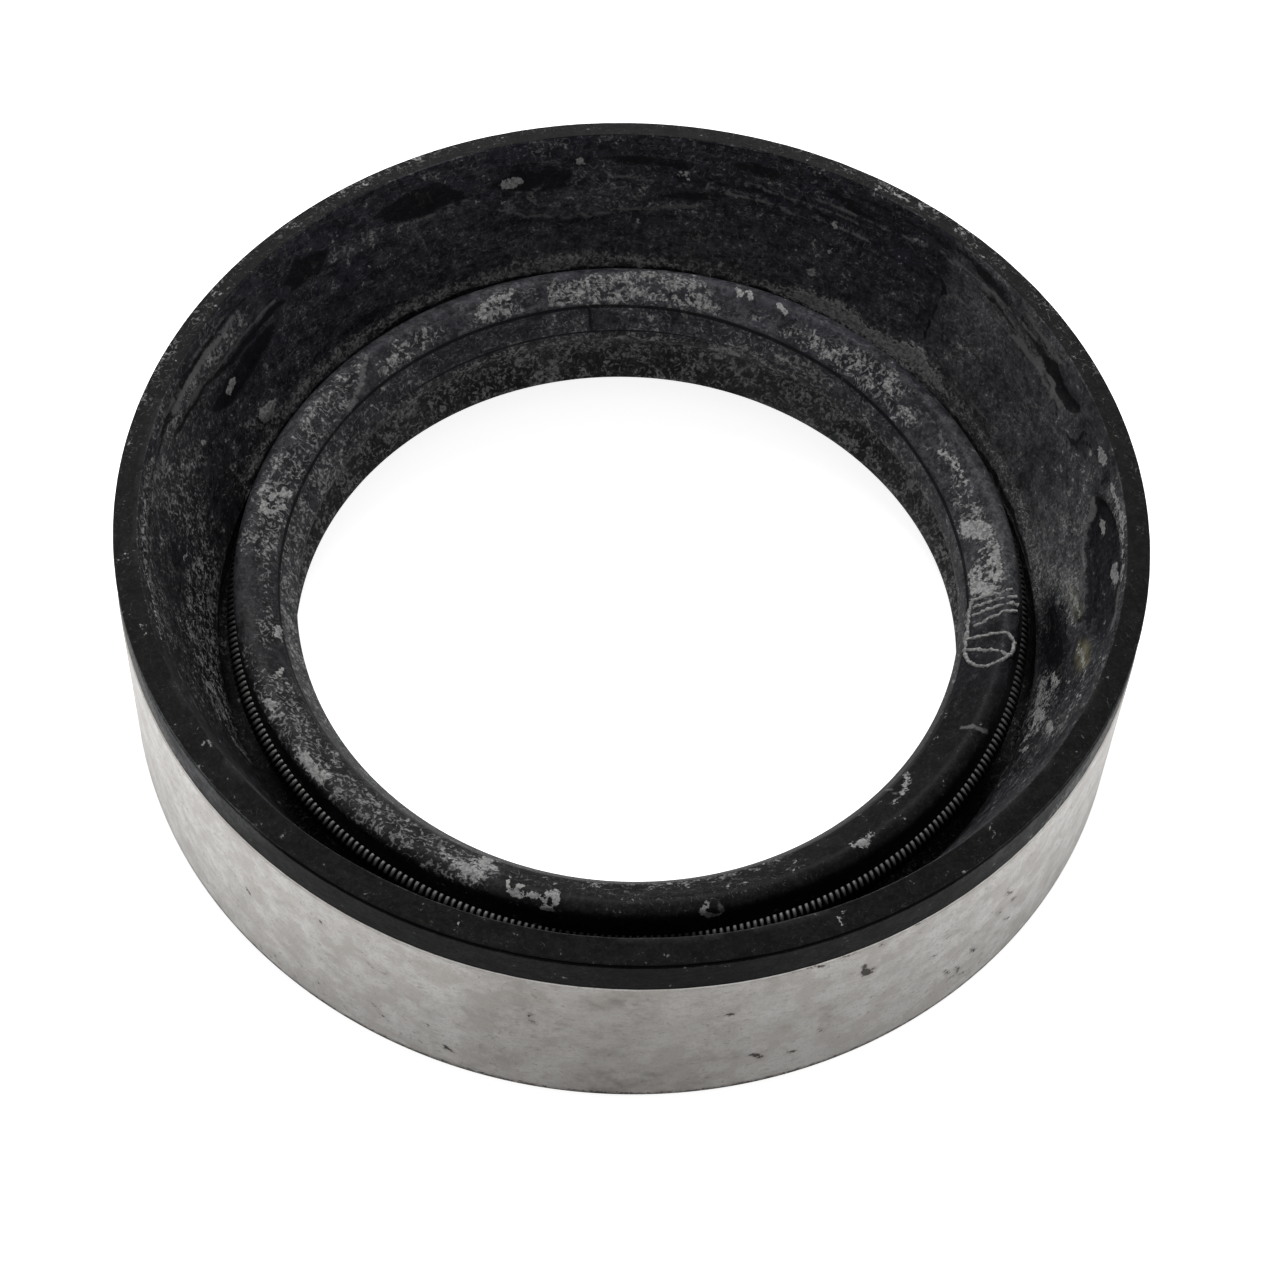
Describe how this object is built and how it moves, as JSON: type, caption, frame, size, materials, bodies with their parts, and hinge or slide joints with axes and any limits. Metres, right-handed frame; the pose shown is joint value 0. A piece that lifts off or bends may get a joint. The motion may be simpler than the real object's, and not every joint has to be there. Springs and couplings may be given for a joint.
{
  "type": "radial shaft seal",
  "caption": "Ring seal for a rotating shaft: ground steel case, moulded rubber lip held by a garter spring, and a dust lip below it.",
  "frame": {"origin": "centre of the seal's flat closed side, on the axis of the shaft", "axes": "+Z along the shaft axis, out of the open side that shows the garter spring; X and Y are equal"},
  "size_m": [0.072, 0.072, 0.0197],
  "materials": {
    "case_steel": "ground, dull, finely mottled",
    "element_rubber": "satin moulded rubber, dusty",
    "spring_steel": "drawn wire"
  },
  "bodies": {
    "root": {"steel_case": "case_steel", "sealing_element": "element_rubber", "garter_spring": "spring_steel"}
  },
  "joints": []
}
